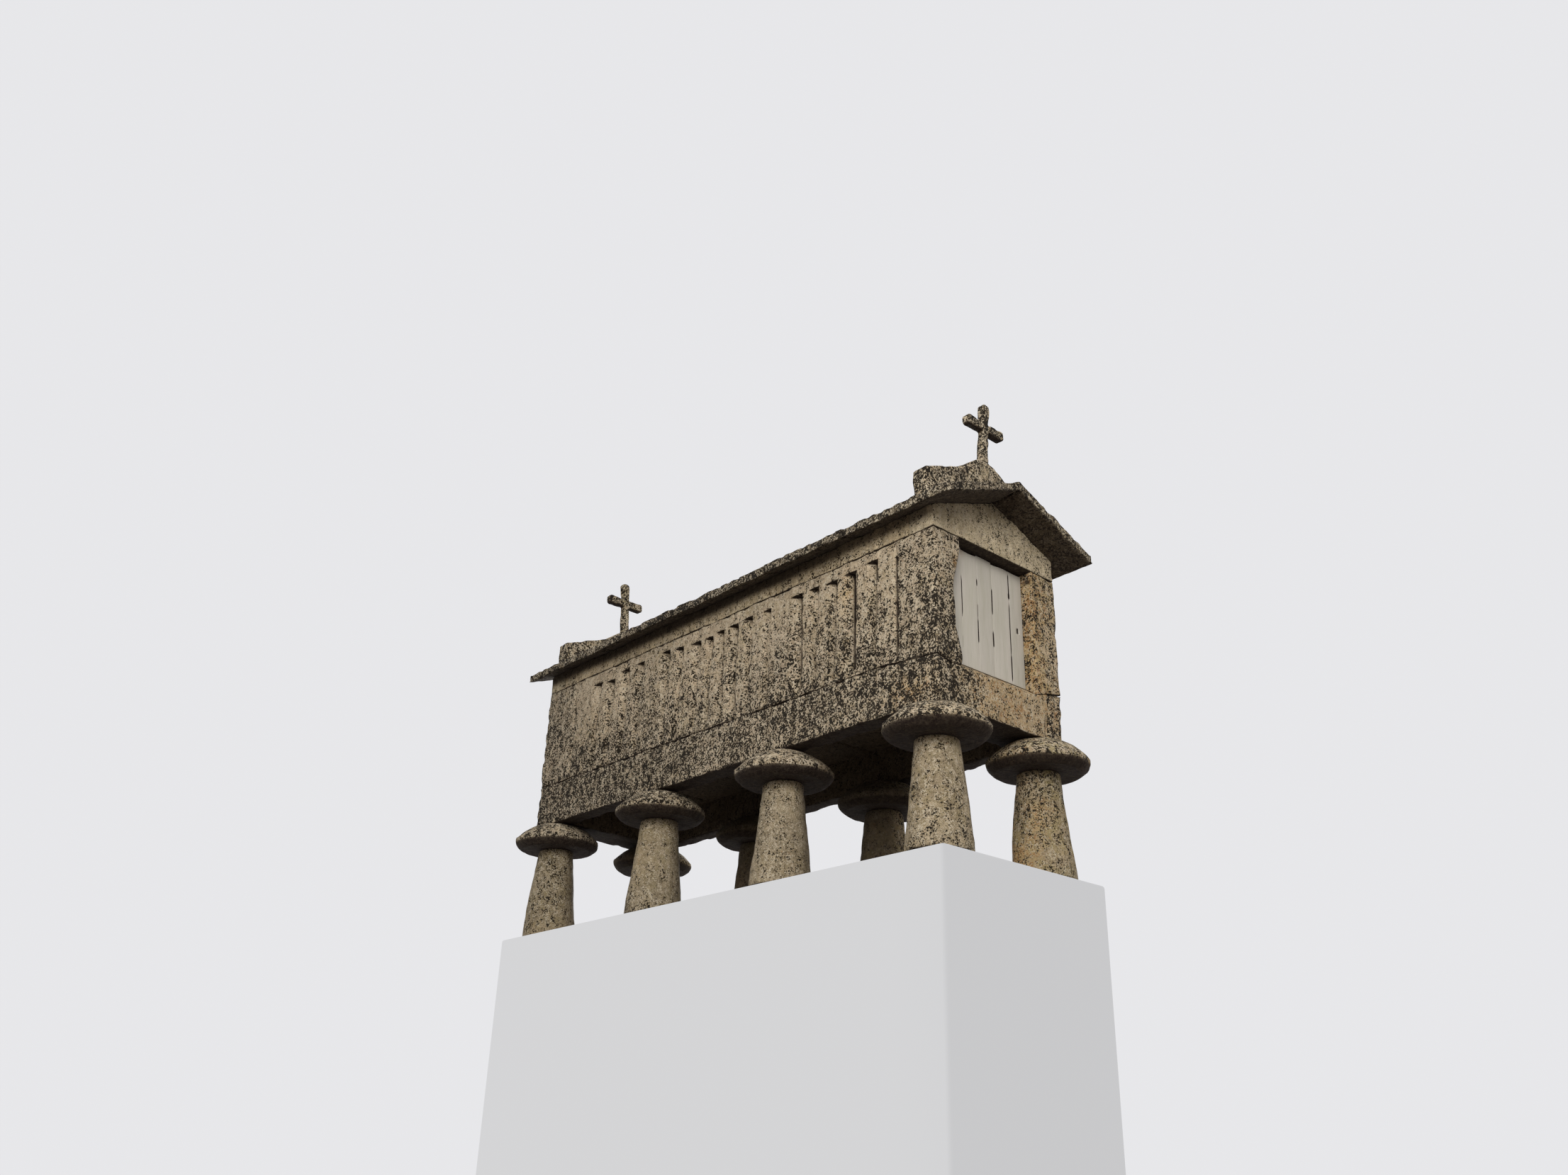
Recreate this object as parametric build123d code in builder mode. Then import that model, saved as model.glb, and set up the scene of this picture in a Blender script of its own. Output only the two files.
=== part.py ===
from build123d import *
import os
from math import atan2, cos, degrees, pi, radians, tan

# A raised granary of dry granite: mushroom-topped pillars, slotted slab walls, a slab roof and a
# boarded door at one end. Millimetres, +Z up, +X towards the door. Left and right are as seen
# facing the door, so the left wall is at -Y. The origin is on the ground, under the middle.

# Body, from wall face to wall face
body_length = 4770.0
body_width = 1300.0
ground_gap = 980.0
sill_depth = 362.0
wall_height = 896.0
plate_height = 170.0

# Thickness of the stones
sill_thickness = 158.0
end_sill_thickness = 346.0
wall_thickness = 110.0
plate_thickness = 220.0
gable_thickness = 230.0
floor_thickness = 80.0

# Corner posts: width on the end face, and length along the side
post_width = 260.0
front_post_length = 346.0
back_post_length = 450.0

# Slots between the wall slabs
slot_gap = 20.0
slot_flare = 58.0
slot_flare_depth = 60.0
slot_flare_most = 0.25
slot_foot = 38.0
slot_head = 90.0
side_slab_shares = [24, 23, 18, 19, 18, 34, 23, 18, 16, 14, 16, 23, 18, 36, 21, 22, 19, 34]
back_slab_shares = [19, 21, 17, 21]

# Roof slabs, with thickness measured plumb
roof_pitch = 21.1
roof_thickness = 74.0
eave_overhang = 158.0
front_overhang = 246.0
back_overhang = 139.0
roof_slab_shares = [98, 84, 116, 107, 111]
eave_steps = [0.0, 10.0, -6.0, 8.0, -4.0]

# Stones of the long sills and the wall plates
sill_stone_shares = [311, 166]
plate_stone_shares = [114, 195, 122]
floor_slab_count = 6

# Pillars and capitals, hewn round in many narrow flats
hewn_sides = 32
pillar_pairs = 4
pillar_inset = 130.0
pillar_inset_back = 170.0
pillar_top_radius = 147.0
pillar_foot_radius = 225.0
capital_height = 215.0
capital_radius = 360.0
capital_seat_radius = 170.0
capital_foot_radius = 300.0
capital_rim_drop = 130.0
capital_rim_height = 20.0
capital_crown_power = 1.5
capital_lip_power = 2.0

# Saddle stones that hold the roof down over each end wall, and the crosses on them
saddle_thickness = 137.0
front_saddle_height = 247.0
back_saddle_height = 222.0
saddle_inset_front = 50.0
saddle_inset_back = 65.0
pedestal_height = 36.0
pedestal_half_width = 160.0
front_pedestal_foot = 140.0
back_pedestal_foot = 60.0
front_cross_height = 526.0
front_cross_span = 412.0
front_cross_lean = 5.0
back_cross_height = 521.0
back_cross_span = 387.0
back_cross_lean = -4.0
cross_forward = 28.0
cross_thickness = 66.0
cross_shaft_width = 62.0
cross_arm_depth = 72.0
cross_flare = 8.0
cross_arm_share = 0.60
cross_corner = 18.0
cross_edge = 12.0

# Door
door_recess = 95.0
door_gap = 6.0
stile_width = 110.0
stile_thickness = 40.0
board_shares = [168, 159, 190, 141]
board_thickness = 28.0
board_gap = 2.0
ledge_height = 110.0
ledge_thickness = 30.0
ledge_inset = 120.0
keyhole_length = 44.0
keyhole_width = 18.0
keyhole_inset = 60.0
keyhole_level = 425.0
pivot_radius = 14.0
pivot_length = 24.0
pivot_clearance = 2.0
pivot_seat_gap = 0.3

# Fit of the stones
dry_joint = 2.0

# Heights
sill_bottom = ground_gap
sill_top = sill_bottom + sill_depth
wall_top = sill_top + wall_height
slope = tan(radians(roof_pitch))
half_width = body_width / 2
gable_shoulder = wall_top + plate_height
roof_ridge = gable_shoulder + slope * half_width
roof_crest = roof_ridge + roof_thickness
capital_bottom = sill_bottom - capital_height

# Places along X. The outline runs from the rearmost capital or eave to the front eave
rear_reach = max(back_overhang, capital_radius - pillar_inset_back)
front_face = (body_length + rear_reach - front_overhang) / 2
back_face = front_face - body_length
pillar_spacing = (body_length - pillar_inset - pillar_inset_back) / (pillar_pairs - 1)
pillar_side = half_width - pillar_inset
sides = {"left": -1, "right": 1}

# Door opening and pivot
jamb = half_width - post_width
heel_radius = stile_thickness / 2
pivot_x = front_face - door_recess - heel_radius
pivot_y = -jamb + door_gap + heel_radius
leaf_bottom = sill_top + door_gap
leaf_top = wall_top - door_gap


def save(piece, name):
    """Labels one finished piece and writes its file."""
    piece.part.label = name
    export_step(piece.part, f"parts/{name}.step")


def spans(start, end, shares, joint=dry_joint):
    """Cuts the way from start to end into stretches in the given shares, with a joint between them."""
    step = (end - start) / sum(shares)
    marks = [start + step * sum(shares[:count]) for count in range(len(shares) + 1)]
    inset = joint / 2 if end > start else -joint / 2
    last = len(shares) - 1
    return [
        (marks[i] + (inset if i > 0 else 0), marks[i + 1] - (inset if i < last else 0))
        for i in range(len(shares))
    ]


def roof_line(reach):
    """Height of the underside of the roof at a distance from the ridge."""
    return roof_ridge - slope * reach


def hewn_round(profile):
    """A many-sided round stone that narrows upwards through the given radii and heights."""
    with BuildPart() as stone:
        for (radius, height), (upper_radius, upper_height) in zip(profile, profile[1:]):
            rise = upper_height - height
            inset = (radius - upper_radius) * cos(pi / hewn_sides)
            with BuildSketch(Plane.XY.offset(height)):
                RegularPolygon(radius, hewn_sides)
            extrude(amount=rise, taper=degrees(atan2(inset, rise)))
    return stone


def make_capital():
    """A mushroom capital: a flat seat, a crowned top, a rounded rim and a flat underside."""
    crown = capital_radius - capital_seat_radius
    lip = capital_radius - capital_foot_radius
    rim_top = sill_bottom - capital_rim_drop
    rim_foot = rim_top - capital_rim_height
    dome = [
        (capital_seat_radius + crown * share, sill_bottom - capital_rim_drop * share**capital_crown_power)
        for share in (1, 0.94, 0.8, 0.55, 0.3, 0)
    ]
    belly = [
        (capital_radius - lip * share**capital_lip_power, (rim_foot - capital_bottom) * share)
        for share in (0, 0.55, 1)
    ]
    with BuildPart() as stone:
        add(hewn_round([(capital_radius, rim_foot)] + dome))
        with Locations(Location((0, 0, rim_foot), (180, 0, 0))):
            add(hewn_round(belly))
    return stone


def make_supports():
    """The pillars and capitals, in pairs from the front, each a copy of the same stone."""
    pillar = hewn_round([(pillar_foot_radius, 0), (pillar_top_radius, capital_bottom)])
    stones = {"pillar": pillar, "capital": make_capital()}
    for pair in range(pillar_pairs):
        x = front_face - pillar_inset - pair * pillar_spacing
        for side, sign in sides.items():
            for kind, stone in stones.items():
                with BuildPart() as placed:
                    with Locations((x, sign * pillar_side)):
                        add(stone)
                save(placed, f"{kind}_{side}_{pair + 1}")


def prism_along_x(outline, stretches):
    """Runs an outline in Y and Z along each stretch of X, as separate stones."""
    with BuildPart() as piece:
        for first, second in stretches:
            with BuildSketch(Plane.YZ.offset(min(first, second))):
                with BuildLine():
                    Polyline(*outline, close=True)
                make_face()
            extrude(amount=abs(second - first))
    return piece


def block(x_range, y_range, z_range):
    """A squared stone between the given limits."""
    centre = ((x_range[0] + x_range[1]) / 2, (y_range[0] + y_range[1]) / 2)
    with BuildPart() as piece:
        with BuildSketch(Plane.XY.offset(z_range[0])):
            with Locations(centre):
                Rectangle(abs(x_range[1] - x_range[0]), abs(y_range[1] - y_range[0]))
        extrude(amount=z_range[1] - z_range[0])
    return piece


def long_sill(sign, floor_front, floor_back):
    """The stones of one long sill, with a ledge cut in the inner edge for the floor."""
    outer = half_width
    inner = half_width - sill_thickness
    ledge = half_width - wall_thickness
    with BuildPart() as sill:
        for front, back in spans(front_face, back_face, sill_stone_shares):
            with BuildSketch(Plane.YZ.offset(back)):
                with Locations((sign * (inner + outer) / 2, sill_bottom + sill_depth / 2)):
                    Rectangle(sill_thickness, sill_depth)
            extrude(amount=front - back)
        with BuildSketch(Plane.YZ.offset(floor_back)):
            with Locations((sign * (inner + ledge) / 2, sill_top - floor_thickness / 2)):
                Rectangle(ledge - inner, floor_thickness)
        extrude(amount=floor_front - floor_back, mode=Mode.SUBTRACT)
    return sill


def make_sills():
    """Long sills, end sills between them, and the floor slabs."""
    inner = half_width - sill_thickness
    ledge = half_width - wall_thickness
    floor_bottom = sill_top - floor_thickness
    front_inside = front_face - end_sill_thickness
    back_inside = back_face + end_sill_thickness
    for side, sign in sides.items():
        save(long_sill(sign, front_inside, back_inside), f"sill_{side}")
    between = (-inner, inner)
    upright = (sill_bottom, sill_top)
    front_sill = block((front_inside, front_face), between, upright)
    with front_sill:
        with Locations((pivot_x, pivot_y, sill_top)):
            Cylinder(
                pivot_radius + pivot_clearance,
                pivot_length - door_gap + pivot_seat_gap,
                align=(Align.CENTER, Align.CENTER, Align.MAX),
                mode=Mode.SUBTRACT,
            )
    save(front_sill, "sill_front")
    save(block((back_face, back_inside), between, upright), "sill_back")
    floor_side = ledge - dry_joint
    floor_outline = [
        (-floor_side, floor_bottom),
        (floor_side, floor_bottom),
        (floor_side, sill_top),
        (-floor_side, sill_top),
    ]
    slabs = spans(front_inside - dry_joint, back_inside + dry_joint, [1] * floor_slab_count)
    save(prism_along_x(floor_outline, slabs), "floor_slabs")


def make_posts():
    """The four corner posts, standing on the sills."""
    for side, sign in sides.items():
        across = (sign * jamb, sign * half_width)
        front = (front_face - front_post_length, front_face)
        back = (back_face, back_face + back_post_length)
        save(block(front, across, (sill_top, wall_top)), f"post_front_{side}")
        save(block(back, across, (sill_top, wall_top)), f"post_back_{side}")


def slab_wall(base, length, shares):
    """Upright slabs side by side, cut back between foot and head so that a flared slot is left.

    The base plane lies on the outer face at sill height, its X along the wall, its Y inwards. A narrow
    slab has a narrower flare. At a post, which isn't cut back, the slab gives the slot its whole width.
    """
    last = len(shares) - 1
    stretches = spans(0, length, shares)
    with BuildPart() as wall:
        with BuildSketch(base):
            for start, end in stretches:
                with Locations(((start + end) / 2, wall_thickness / 2)):
                    Rectangle(end - start, wall_thickness)
        extrude(amount=wall_height)
        with BuildSketch(base.offset(slot_foot)):
            for number, (start, end) in enumerate(stretches):
                most = (end - start) * slot_flare_most
                first_share = 1 if number == 0 else 0.5
                last_share = 1 if number == last else 0.5
                for edge, inwards, share in ((start, 1, first_share), (end, -1, last_share)):
                    gap = inwards * slot_gap * share
                    flare = gap + inwards * min(slot_flare, most)
                    with BuildLine():
                        Polyline(
                            (edge, 0),
                            (edge + flare, 0),
                            (edge + gap, slot_flare_depth),
                            (edge + gap, wall_thickness),
                            (edge, wall_thickness),
                            close=True,
                        )
                    make_face()
        extrude(amount=wall_height - slot_foot - slot_head, mode=Mode.SUBTRACT)
    return wall


def make_walls():
    """Side walls between the posts, and the back wall between the back posts."""
    run = body_length - front_post_length - back_post_length - 2 * dry_joint
    start = front_face - front_post_length - dry_joint
    end = start - run
    left = Plane(origin=(end, -half_width, sill_top), x_dir=(1, 0, 0), z_dir=(0, 0, 1))
    right = Plane(origin=(start, half_width, sill_top), x_dir=(-1, 0, 0), z_dir=(0, 0, 1))
    save(slab_wall(left, run, side_slab_shares[::-1]), "left_wall_slabs")
    save(slab_wall(right, run, side_slab_shares[::-1]), "right_wall_slabs")
    back_run = 2 * (jamb - dry_joint)
    back = Plane(origin=(back_face, back_run / 2, sill_top), x_dir=(0, -1, 0), z_dir=(0, 0, 1))
    save(slab_wall(back, back_run, back_slab_shares), "back_wall_slabs")


def make_plates():
    """The wall plates on top of the side walls, bevelled to the pitch of the roof."""
    inner = half_width - plate_thickness
    first = front_face - gable_thickness - dry_joint
    last = back_face + gable_thickness + dry_joint
    for side, sign in sides.items():
        outline = [
            (sign * half_width, wall_top),
            (sign * half_width, gable_shoulder),
            (sign * inner, roof_line(inner)),
            (sign * inner, wall_top),
        ]
        save(prism_along_x(outline, spans(first, last, plate_stone_shares)), f"plate_{side}")


def make_gables():
    """The gable stones, which are also the lintels of the end walls."""
    outline = [
        (-half_width, wall_top),
        (half_width, wall_top),
        (half_width, gable_shoulder),
        (0, roof_ridge),
        (-half_width, gable_shoulder),
    ]
    front = prism_along_x(outline, [(front_face - gable_thickness, front_face)])
    with front:
        with Locations((pivot_x, pivot_y, wall_top)):
            Cylinder(
                pivot_radius + pivot_clearance,
                pivot_length,
                align=(Align.CENTER, Align.CENTER, Align.MIN),
                mode=Mode.SUBTRACT,
            )
    save(front, "gable_front")
    save(prism_along_x(outline, [(back_face, back_face + gable_thickness)]), "gable_back")


def make_roof():
    """Broad slabs on each slope, meeting along the ridge, their eaves not quite in line."""
    first = front_face + front_overhang
    last = back_face - back_overhang
    for side, sign in sides.items():
        order = slice(None, None, -sign)
        stretches = spans(first, last, roof_slab_shares[order])
        with BuildPart() as slope_slabs:
            for (front, back), step in zip(stretches, eave_steps[order]):
                eave = half_width + eave_overhang + step
                with BuildSketch(Plane.YZ.offset(back)):
                    with BuildLine():
                        Polyline(
                            (0, roof_ridge),
                            (0, roof_crest),
                            (sign * eave, roof_line(eave) + roof_thickness),
                            (sign * eave, roof_line(eave)),
                            close=True,
                        )
                    make_face()
                extrude(amount=front - back)
        save(slope_slabs, f"roof_slabs_{side}")


def saddle(front, height, pedestal_foot):
    """An upstand across the roof that follows both slopes and rises to a low pedestal at the ridge."""
    shoulder = pedestal_half_width + pedestal_foot
    top = roof_thickness + height
    pedestal_top = roof_crest + height + pedestal_height
    outline = [
        (0, roof_crest),
        (half_width, roof_line(half_width) + roof_thickness),
        (half_width, roof_line(half_width) + top),
        (shoulder, roof_line(shoulder) + top),
        (pedestal_half_width, pedestal_top),
        (-pedestal_half_width, pedestal_top),
        (-shoulder, roof_line(shoulder) + top),
        (-half_width, roof_line(half_width) + top),
        (-half_width, roof_line(half_width) + roof_thickness),
    ]
    return prism_along_x(outline, [(front - saddle_thickness, front)])


def cross(x, foot, height, span, lean):
    """A Latin cross whose limbs widen to clipped ends, and whose shaft leans out of plumb."""
    crossing = height * cross_arm_share
    shaft, arm = cross_shaft_width / 2, cross_arm_depth / 2
    shaft_tip, arm_tip = shaft + cross_flare, arm + cross_flare
    reach = span / 2
    right_half = [
        (shaft_tip, 0),
        (shaft, crossing - arm),
        (reach - cross_corner, crossing - arm_tip),
        (reach, crossing - arm_tip + cross_corner),
        (reach, crossing + arm_tip - cross_corner),
        (reach - cross_corner, crossing + arm_tip),
        (shaft, crossing + arm),
        (shaft_tip, height - cross_corner),
        (shaft_tip - cross_corner, height),
    ]
    left_half = [(-across, rise) for across, rise in reversed(right_half)]
    sway = tan(radians(lean))
    outline = [(across + rise * sway, foot + rise) for across, rise in right_half + left_half]
    with BuildPart() as piece:
        with BuildSketch(Plane.YZ.offset(x)):
            with BuildLine():
                Polyline(*outline, close=True)
            make_face()
        extrude(amount=cross_thickness / 2, both=True)
        faces = piece.faces().filter_by(Axis.X)
        rims = faces.edges().filter_by(lambda edge: edge.center().Z > foot + cross_edge)
        chamfer(rims, length=cross_edge)
    return piece


def make_ridge_stones():
    """The saddle stones over the end walls, each with its cross."""
    ends = {
        "front": (front_face - saddle_inset_front, front_saddle_height, front_pedestal_foot),
        "back": (back_face + saddle_inset_back + saddle_thickness, back_saddle_height, back_pedestal_foot),
    }
    crosses = {
        "front": (front_cross_height, front_cross_span, front_cross_lean),
        "back": (back_cross_height, back_cross_span, back_cross_lean),
    }
    for end, (face, height, pedestal_foot) in ends.items():
        save(saddle(face, height, pedestal_foot), f"saddle_{end}")
        x = face - saddle_thickness / 2 + cross_forward
        foot = roof_crest + height + pedestal_height
        save(cross(x, foot, *crosses[end]), f"cross_{end}")


def make_door():
    """The leaf: a hanging stile that turns in stone sockets, boards with a keyhole, and ledges behind."""
    with BuildPart() as stile:
        with BuildSketch(Plane.XY.offset(leaf_bottom)):
            with Locations((pivot_x, pivot_y)):
                Circle(heel_radius)
                Rectangle(stile_thickness, stile_width - heel_radius, align=(Align.CENTER, Align.MIN))
        extrude(amount=leaf_top - leaf_bottom)
        with BuildSketch(Plane.XY.offset(leaf_bottom - pivot_length)):
            with Locations((pivot_x, pivot_y)):
                Circle(pivot_radius)
        extrude(amount=leaf_top - leaf_bottom + 2 * pivot_length)
    save(stile, "door_stile")

    stile_side = pivot_y + stile_width - heel_radius
    free_edge = jamb - door_gap
    board_front = pivot_x + heel_radius
    board_back = board_front - board_thickness
    with BuildPart() as boards:
        for near, far in spans(stile_side, free_edge, board_shares, board_gap):
            with BuildSketch(Plane.XY.offset(leaf_bottom)):
                with Locations(((board_back + board_front) / 2, (near + far) / 2)):
                    Rectangle(board_thickness, far - near)
            extrude(amount=leaf_top - leaf_bottom)
        with BuildSketch(Plane.YZ.offset(board_back)):
            with Locations((free_edge - keyhole_inset, leaf_bottom + keyhole_level)):
                SlotOverall(keyhole_length, keyhole_width, rotation=90)
        extrude(amount=board_thickness, mode=Mode.SUBTRACT)
    save(boards, "door_boards")

    ledge_end = free_edge - ledge_thickness
    with BuildPart() as ledges:
        for bottom in (leaf_bottom + ledge_inset, leaf_top - ledge_inset - ledge_height):
            with BuildSketch(Plane.XY.offset(bottom)):
                with Locations((board_back - ledge_thickness / 2, (stile_side + ledge_end) / 2)):
                    Rectangle(ledge_thickness, ledge_end - stile_side)
            extrude(amount=ledge_height)
    save(ledges, "door_ledges")


os.makedirs("parts", exist_ok=True)
make_supports()
make_sills()
make_posts()
make_walls()
make_plates()
make_gables()
make_roof()
make_ridge_stones()
make_door()
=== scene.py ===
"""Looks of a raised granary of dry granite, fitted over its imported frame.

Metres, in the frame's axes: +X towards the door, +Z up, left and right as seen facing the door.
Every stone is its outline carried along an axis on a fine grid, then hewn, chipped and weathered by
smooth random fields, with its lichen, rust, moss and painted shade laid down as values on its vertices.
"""
import math

import bpy
import numpy as np
from mathutils import Matrix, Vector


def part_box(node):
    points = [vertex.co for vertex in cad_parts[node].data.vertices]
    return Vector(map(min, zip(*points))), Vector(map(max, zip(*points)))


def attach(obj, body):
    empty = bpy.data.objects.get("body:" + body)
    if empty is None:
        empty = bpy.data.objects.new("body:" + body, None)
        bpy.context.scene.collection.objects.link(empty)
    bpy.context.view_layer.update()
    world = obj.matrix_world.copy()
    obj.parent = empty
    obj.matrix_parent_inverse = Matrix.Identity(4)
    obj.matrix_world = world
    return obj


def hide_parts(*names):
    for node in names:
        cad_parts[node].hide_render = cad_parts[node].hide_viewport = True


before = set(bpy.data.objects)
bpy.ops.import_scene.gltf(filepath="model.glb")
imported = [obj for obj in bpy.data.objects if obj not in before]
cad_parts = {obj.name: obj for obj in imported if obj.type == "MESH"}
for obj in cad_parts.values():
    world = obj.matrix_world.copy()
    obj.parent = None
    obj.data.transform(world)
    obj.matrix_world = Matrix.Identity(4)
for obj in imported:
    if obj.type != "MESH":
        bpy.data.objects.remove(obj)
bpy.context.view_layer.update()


def corners(node):
    """Lowest and highest corner of a node as arrays."""
    return np.array(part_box(node), float)


# Sizes read from the frame
sill_low, sill_high = corners("sill_left")
back_face, front_face = sill_low[0], sill_high[0]
half_width = -sill_low[1]
sill_bottom, sill_top = sill_low[2], sill_high[2]
sill_inner = -sill_high[1]
wall_top = corners("post_front_left")[1][2]
jamb = -corners("post_front_left")[1][1]
roof_low, roof_high = corners("roof_slabs_left")
roof_crest = roof_high[2]
roof_ridge = corners("gable_front")[1][2]

# Sizes that the frame's boxes don't show
roof_slope = math.tan(math.radians(21.1))
dry_joint = 0.002
pillar_pairs = 4
pillar_top = 0.147
capital_seat = 0.170
capital_foot = 0.300
capital_dome = 0.130
capital_rim = 0.020
hub = 0.02
slab_depth = 0.110
slot_gap = 0.020
slot_flare = 0.058
slot_flare_depth = 0.060
slot_flare_most = 0.25
slot_foot = 0.038
slot_head = 0.090
side_slab_shares = [24, 23, 18, 19, 18, 34, 23, 18, 16, 14, 16, 23, 18, 36, 21, 22, 19, 34]
back_slab_shares = [19, 21, 17, 21]
roof_slab_shares = [98, 84, 116, 107, 111]
eave_overhang = 0.158
eave_steps = [0.0, 0.010, -0.006, 0.008, -0.004]
sill_stone_shares = [311, 166]
plate_stone_shares = [114, 195, 122]
floor_slab_count = 6
cross_arm_share = 0.60
board_shares = [168, 159, 190, 141]
threshold_fall = 0.062
saddle_thickness = 0.036
pedestal_half_width = 0.160
pedestal_slopes = {"front": 0.140, "back": 0.060}
pedestal_top_share = 0.27
keyhole_length = 0.044
keyhole_width = 0.018
keyhole_inset = 0.060
keyhole_level = 0.425
sides = {"left": -1, "right": 1}

# Grid, arrises and hewing
grid_step = 0.019
arris_radius = 0.008
arris_reach = 0.022
chip_size = 0.055
chip_depth = 0.016
shared_waves = [(0.45, 3, 0.0045), (0.14, 4, 0.0030), (0.05, 5, 0.0016)]
most_crust = 0.74


def lattice_noise(points, cell, seed):
    """Smooth random vectors between -1 and 1.

    Each corner of a cubic lattice gets three random numbers. A point takes the blend of the eight
    corners round it, eased on each axis by 3t^2 - 2t^3.
    """
    table = np.random.default_rng(seed).uniform(-1, 1, (4096, 3))
    primes = (73856093, 19349663, 83492791)
    scaled = points / cell
    corner = np.floor(scaled).astype(np.int64)
    part = scaled - corner
    ease = part * part * (3 - 2 * part)
    total = np.zeros(points.shape)
    for step in np.ndindex(2, 2, 2):
        nearness = np.where(np.array(step) == 1, ease, 1 - ease).prod(axis=-1)
        key = np.bitwise_xor.reduce((corner + step) * primes, axis=-1) % len(table)
        total += table[key] * nearness[..., None]
    return total


def smooth_step(value, low, high):
    """0 below low, 1 above high, and 3t^2 - 2t^3 between them."""
    part = np.clip((value - low) / (high - low), 0, 1)
    return part * part * (3 - 2 * part)


def spans(start, end, shares):
    """Cuts the way from start to end into stretches in the given shares, with a dry joint between."""
    marks = start + (end - start) * np.concatenate([[0], np.cumsum(shares)]) / sum(shares)
    inset = math.copysign(dry_joint / 2, end - start)
    firsts = marks[:-1] + inset * (np.arange(len(shares)) > 0)
    lasts = marks[1:] - inset * (np.arange(len(shares)) < len(shares) - 1)
    return list(zip(firsts, lasts))


def rectangle(low, high):
    """The four turns of a rectangle."""
    return [(low[0], low[1]), (high[0], low[1]), (high[0], high[1]), (low[0], high[1])]


def rounded_outline(turns, spacing, radius):
    """Points round a closed outline, and the way from each to the nearest turn.

    Each turn becomes a parabola from radius before it to radius after it, and the straight stretches
    between are stepped evenly. The result runs anticlockwise.
    """
    turns = np.asarray(turns, float)
    ahead = np.roll(turns, -1, axis=0)
    if np.sum(turns[:, 0] * ahead[:, 1] - turns[:, 1] * ahead[:, 0]) < 0:
        turns = turns[::-1]
    points, ways = [], []
    ease = np.linspace(0, 1, 4)[:, None]
    for before, turn, after in zip(np.roll(turns, 1, axis=0), turns, np.roll(turns, -1, axis=0)):
        into, out = turn - before, after - turn
        into_length, out_length = np.linalg.norm(into), np.linalg.norm(out)
        reach_in = min(radius, into_length * 0.4)
        reach_out = min(radius, out_length * 0.4)
        first = turn - into / into_length * reach_in
        last = turn + out / out_length * reach_out
        points.append((1 - ease) ** 2 * first + 2 * ease * (1 - ease) * turn + ease**2 * last)
        ways.append(np.array([reach_in, 0, 0, reach_out]) / 2)
        run = out_length - 2 * reach_out
        steps = max(1, round(run / spacing))
        travel = run * np.arange(1, steps) / steps
        points.append(last + out / out_length * travel[:, None])
        ways.append(reach_out + np.minimum(travel, run - travel))
    return np.concatenate(points), np.concatenate(ways)


def stations(start, end, radius, spacing):
    """Even places for a stone's middle rows, which leave the radius free at both ends."""
    start, end = sorted((start, end))
    steps = max(2, round((end - start - 2 * radius) / spacing))
    return np.linspace(start + radius, end - radius, steps + 1)


def carry(outline, ways, places, radius, spacing, heart=None):
    """Rows of a stone, each point's way to the nearest arris, and the heart of its ends.

    The outline is repeated at each place. Past the first and last place a quarter round leads into
    the end face, where copies of the outline shrink to the heart.
    """
    heart = outline.mean(axis=0) if heart is None else np.array(heart, float)
    along = np.roll(outline, -1, axis=0) - np.roll(outline, 1, axis=0)
    inward = np.stack([-along[:, 1], along[:, 0]], axis=1)
    inward /= np.linalg.norm(inward, axis=1)[:, None]
    reach = np.linalg.norm(outline - heart, axis=1)
    rings = max(3, math.ceil(reach.max() / spacing))
    shrink = np.arange(1, rings + 1) / rings
    turn = np.radians([30, 60])
    bend = np.append(np.full(rings, radius), radius * (1 - np.sin(turn)))
    lift = np.append(np.zeros(rings), radius * (1 - np.cos(turn)))
    start, end = places[0] - radius, places[-1] + radius
    height = np.concatenate([start + lift, places, (end - lift)[::-1]])[:, None]
    inset = np.concatenate([bend, np.zeros(len(places)), bend[::-1]])[:, None]
    scale = np.concatenate([shrink, np.ones(len(places) + 2 * len(turn)), shrink[::-1]])[:, None]
    flat = heart + (outline + inward * inset[..., None] - heart) * scale[..., None]
    rows = np.dstack([flat, np.repeat(height, len(outline), axis=1)])
    on_side = np.minimum(ways, np.minimum(height - start, end - height))
    return rows, np.where(scale < 1, (1 - scale) * reach, on_side), heart


def standing(points):
    """Outline in X and Y, carried up Z."""
    return points


def lying(points):
    """Outline in Y and Z, carried along X."""
    return points[:, [2, 0, 1]]


def stone(rows, ways, heart, place=standing):
    """One stone: its rows put in place, closed by a point over each end, with its faces and values.

    The rows run anticlockwise. The value for the arris falls from 1 on it as exp(-way / reach).
    """
    around = rows.shape[1]
    poles = [[*heart, rows[0, 0, 2]], [*heart, rows[-1, 0, 2]]]
    points = place(np.concatenate([rows.reshape(-1, 3), poles]))
    skin = np.arange(len(points) - 2).reshape(-1, around)
    beside = np.roll(skin, -1, axis=1)
    first = np.stack([np.full(around, skin.size), beside[0], skin[0]], axis=1)
    last = np.stack([np.full(around, skin.size + 1), skin[-1], beside[-1]], axis=1)
    return {
        "points": points,
        "quads": np.stack([skin[:-1], beside[:-1], beside[1:], skin[1:]], axis=-1).reshape(-1, 4),
        "triangles": np.concatenate([first, last]),
        "arris": np.exp(-np.concatenate([ways.ravel(), [1, 1]]) / arris_reach),
        "dark": np.zeros(len(points)),
    }


def paint_gap_shade(block, shade):
    """Marks painted shade where a gap between stones is dark, from a value for each point of its rows."""
    block["dark"][:-2] = shade.ravel()


def joined(stones, key):
    """One array of all the stones' arrays."""
    return np.concatenate([block[key] for block in stones])


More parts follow.
